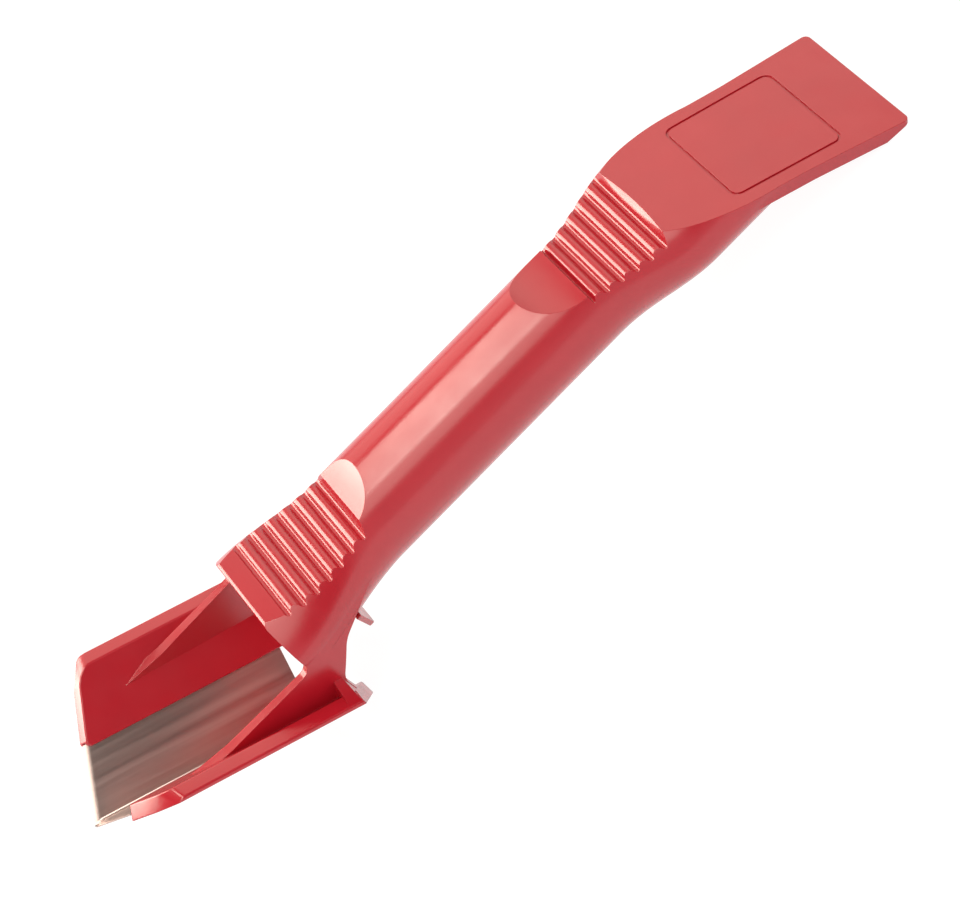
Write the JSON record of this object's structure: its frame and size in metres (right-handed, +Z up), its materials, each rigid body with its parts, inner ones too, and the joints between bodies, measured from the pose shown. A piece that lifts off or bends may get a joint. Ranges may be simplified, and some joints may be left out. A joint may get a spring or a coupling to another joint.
{
  "type": "grout scraper",
  "caption": "Hand-held joint scraper: a hollow moulded handle with ribbed thumb rests, a fork holding a V-bent steel blade at one end and a flat scraper at the other.",
  "frame": {"origin": "centre of the bounding box at its base, on the surface the tool lies on", "axes": "+X from the bladed fork to the flat scraper, +Y across the tool, +Z up towards the thumb rests"},
  "size_m": [0.1982, 0.044, 0.0375],
  "materials": {
    "red_plastic": "moulded, satin to glossy",
    "steel": "bright rolled steel sheet"
  },
  "bodies": {
    "root": {"handle_body": "red_plastic", "cutting_blade": "steel"}
  },
  "joints": []
}
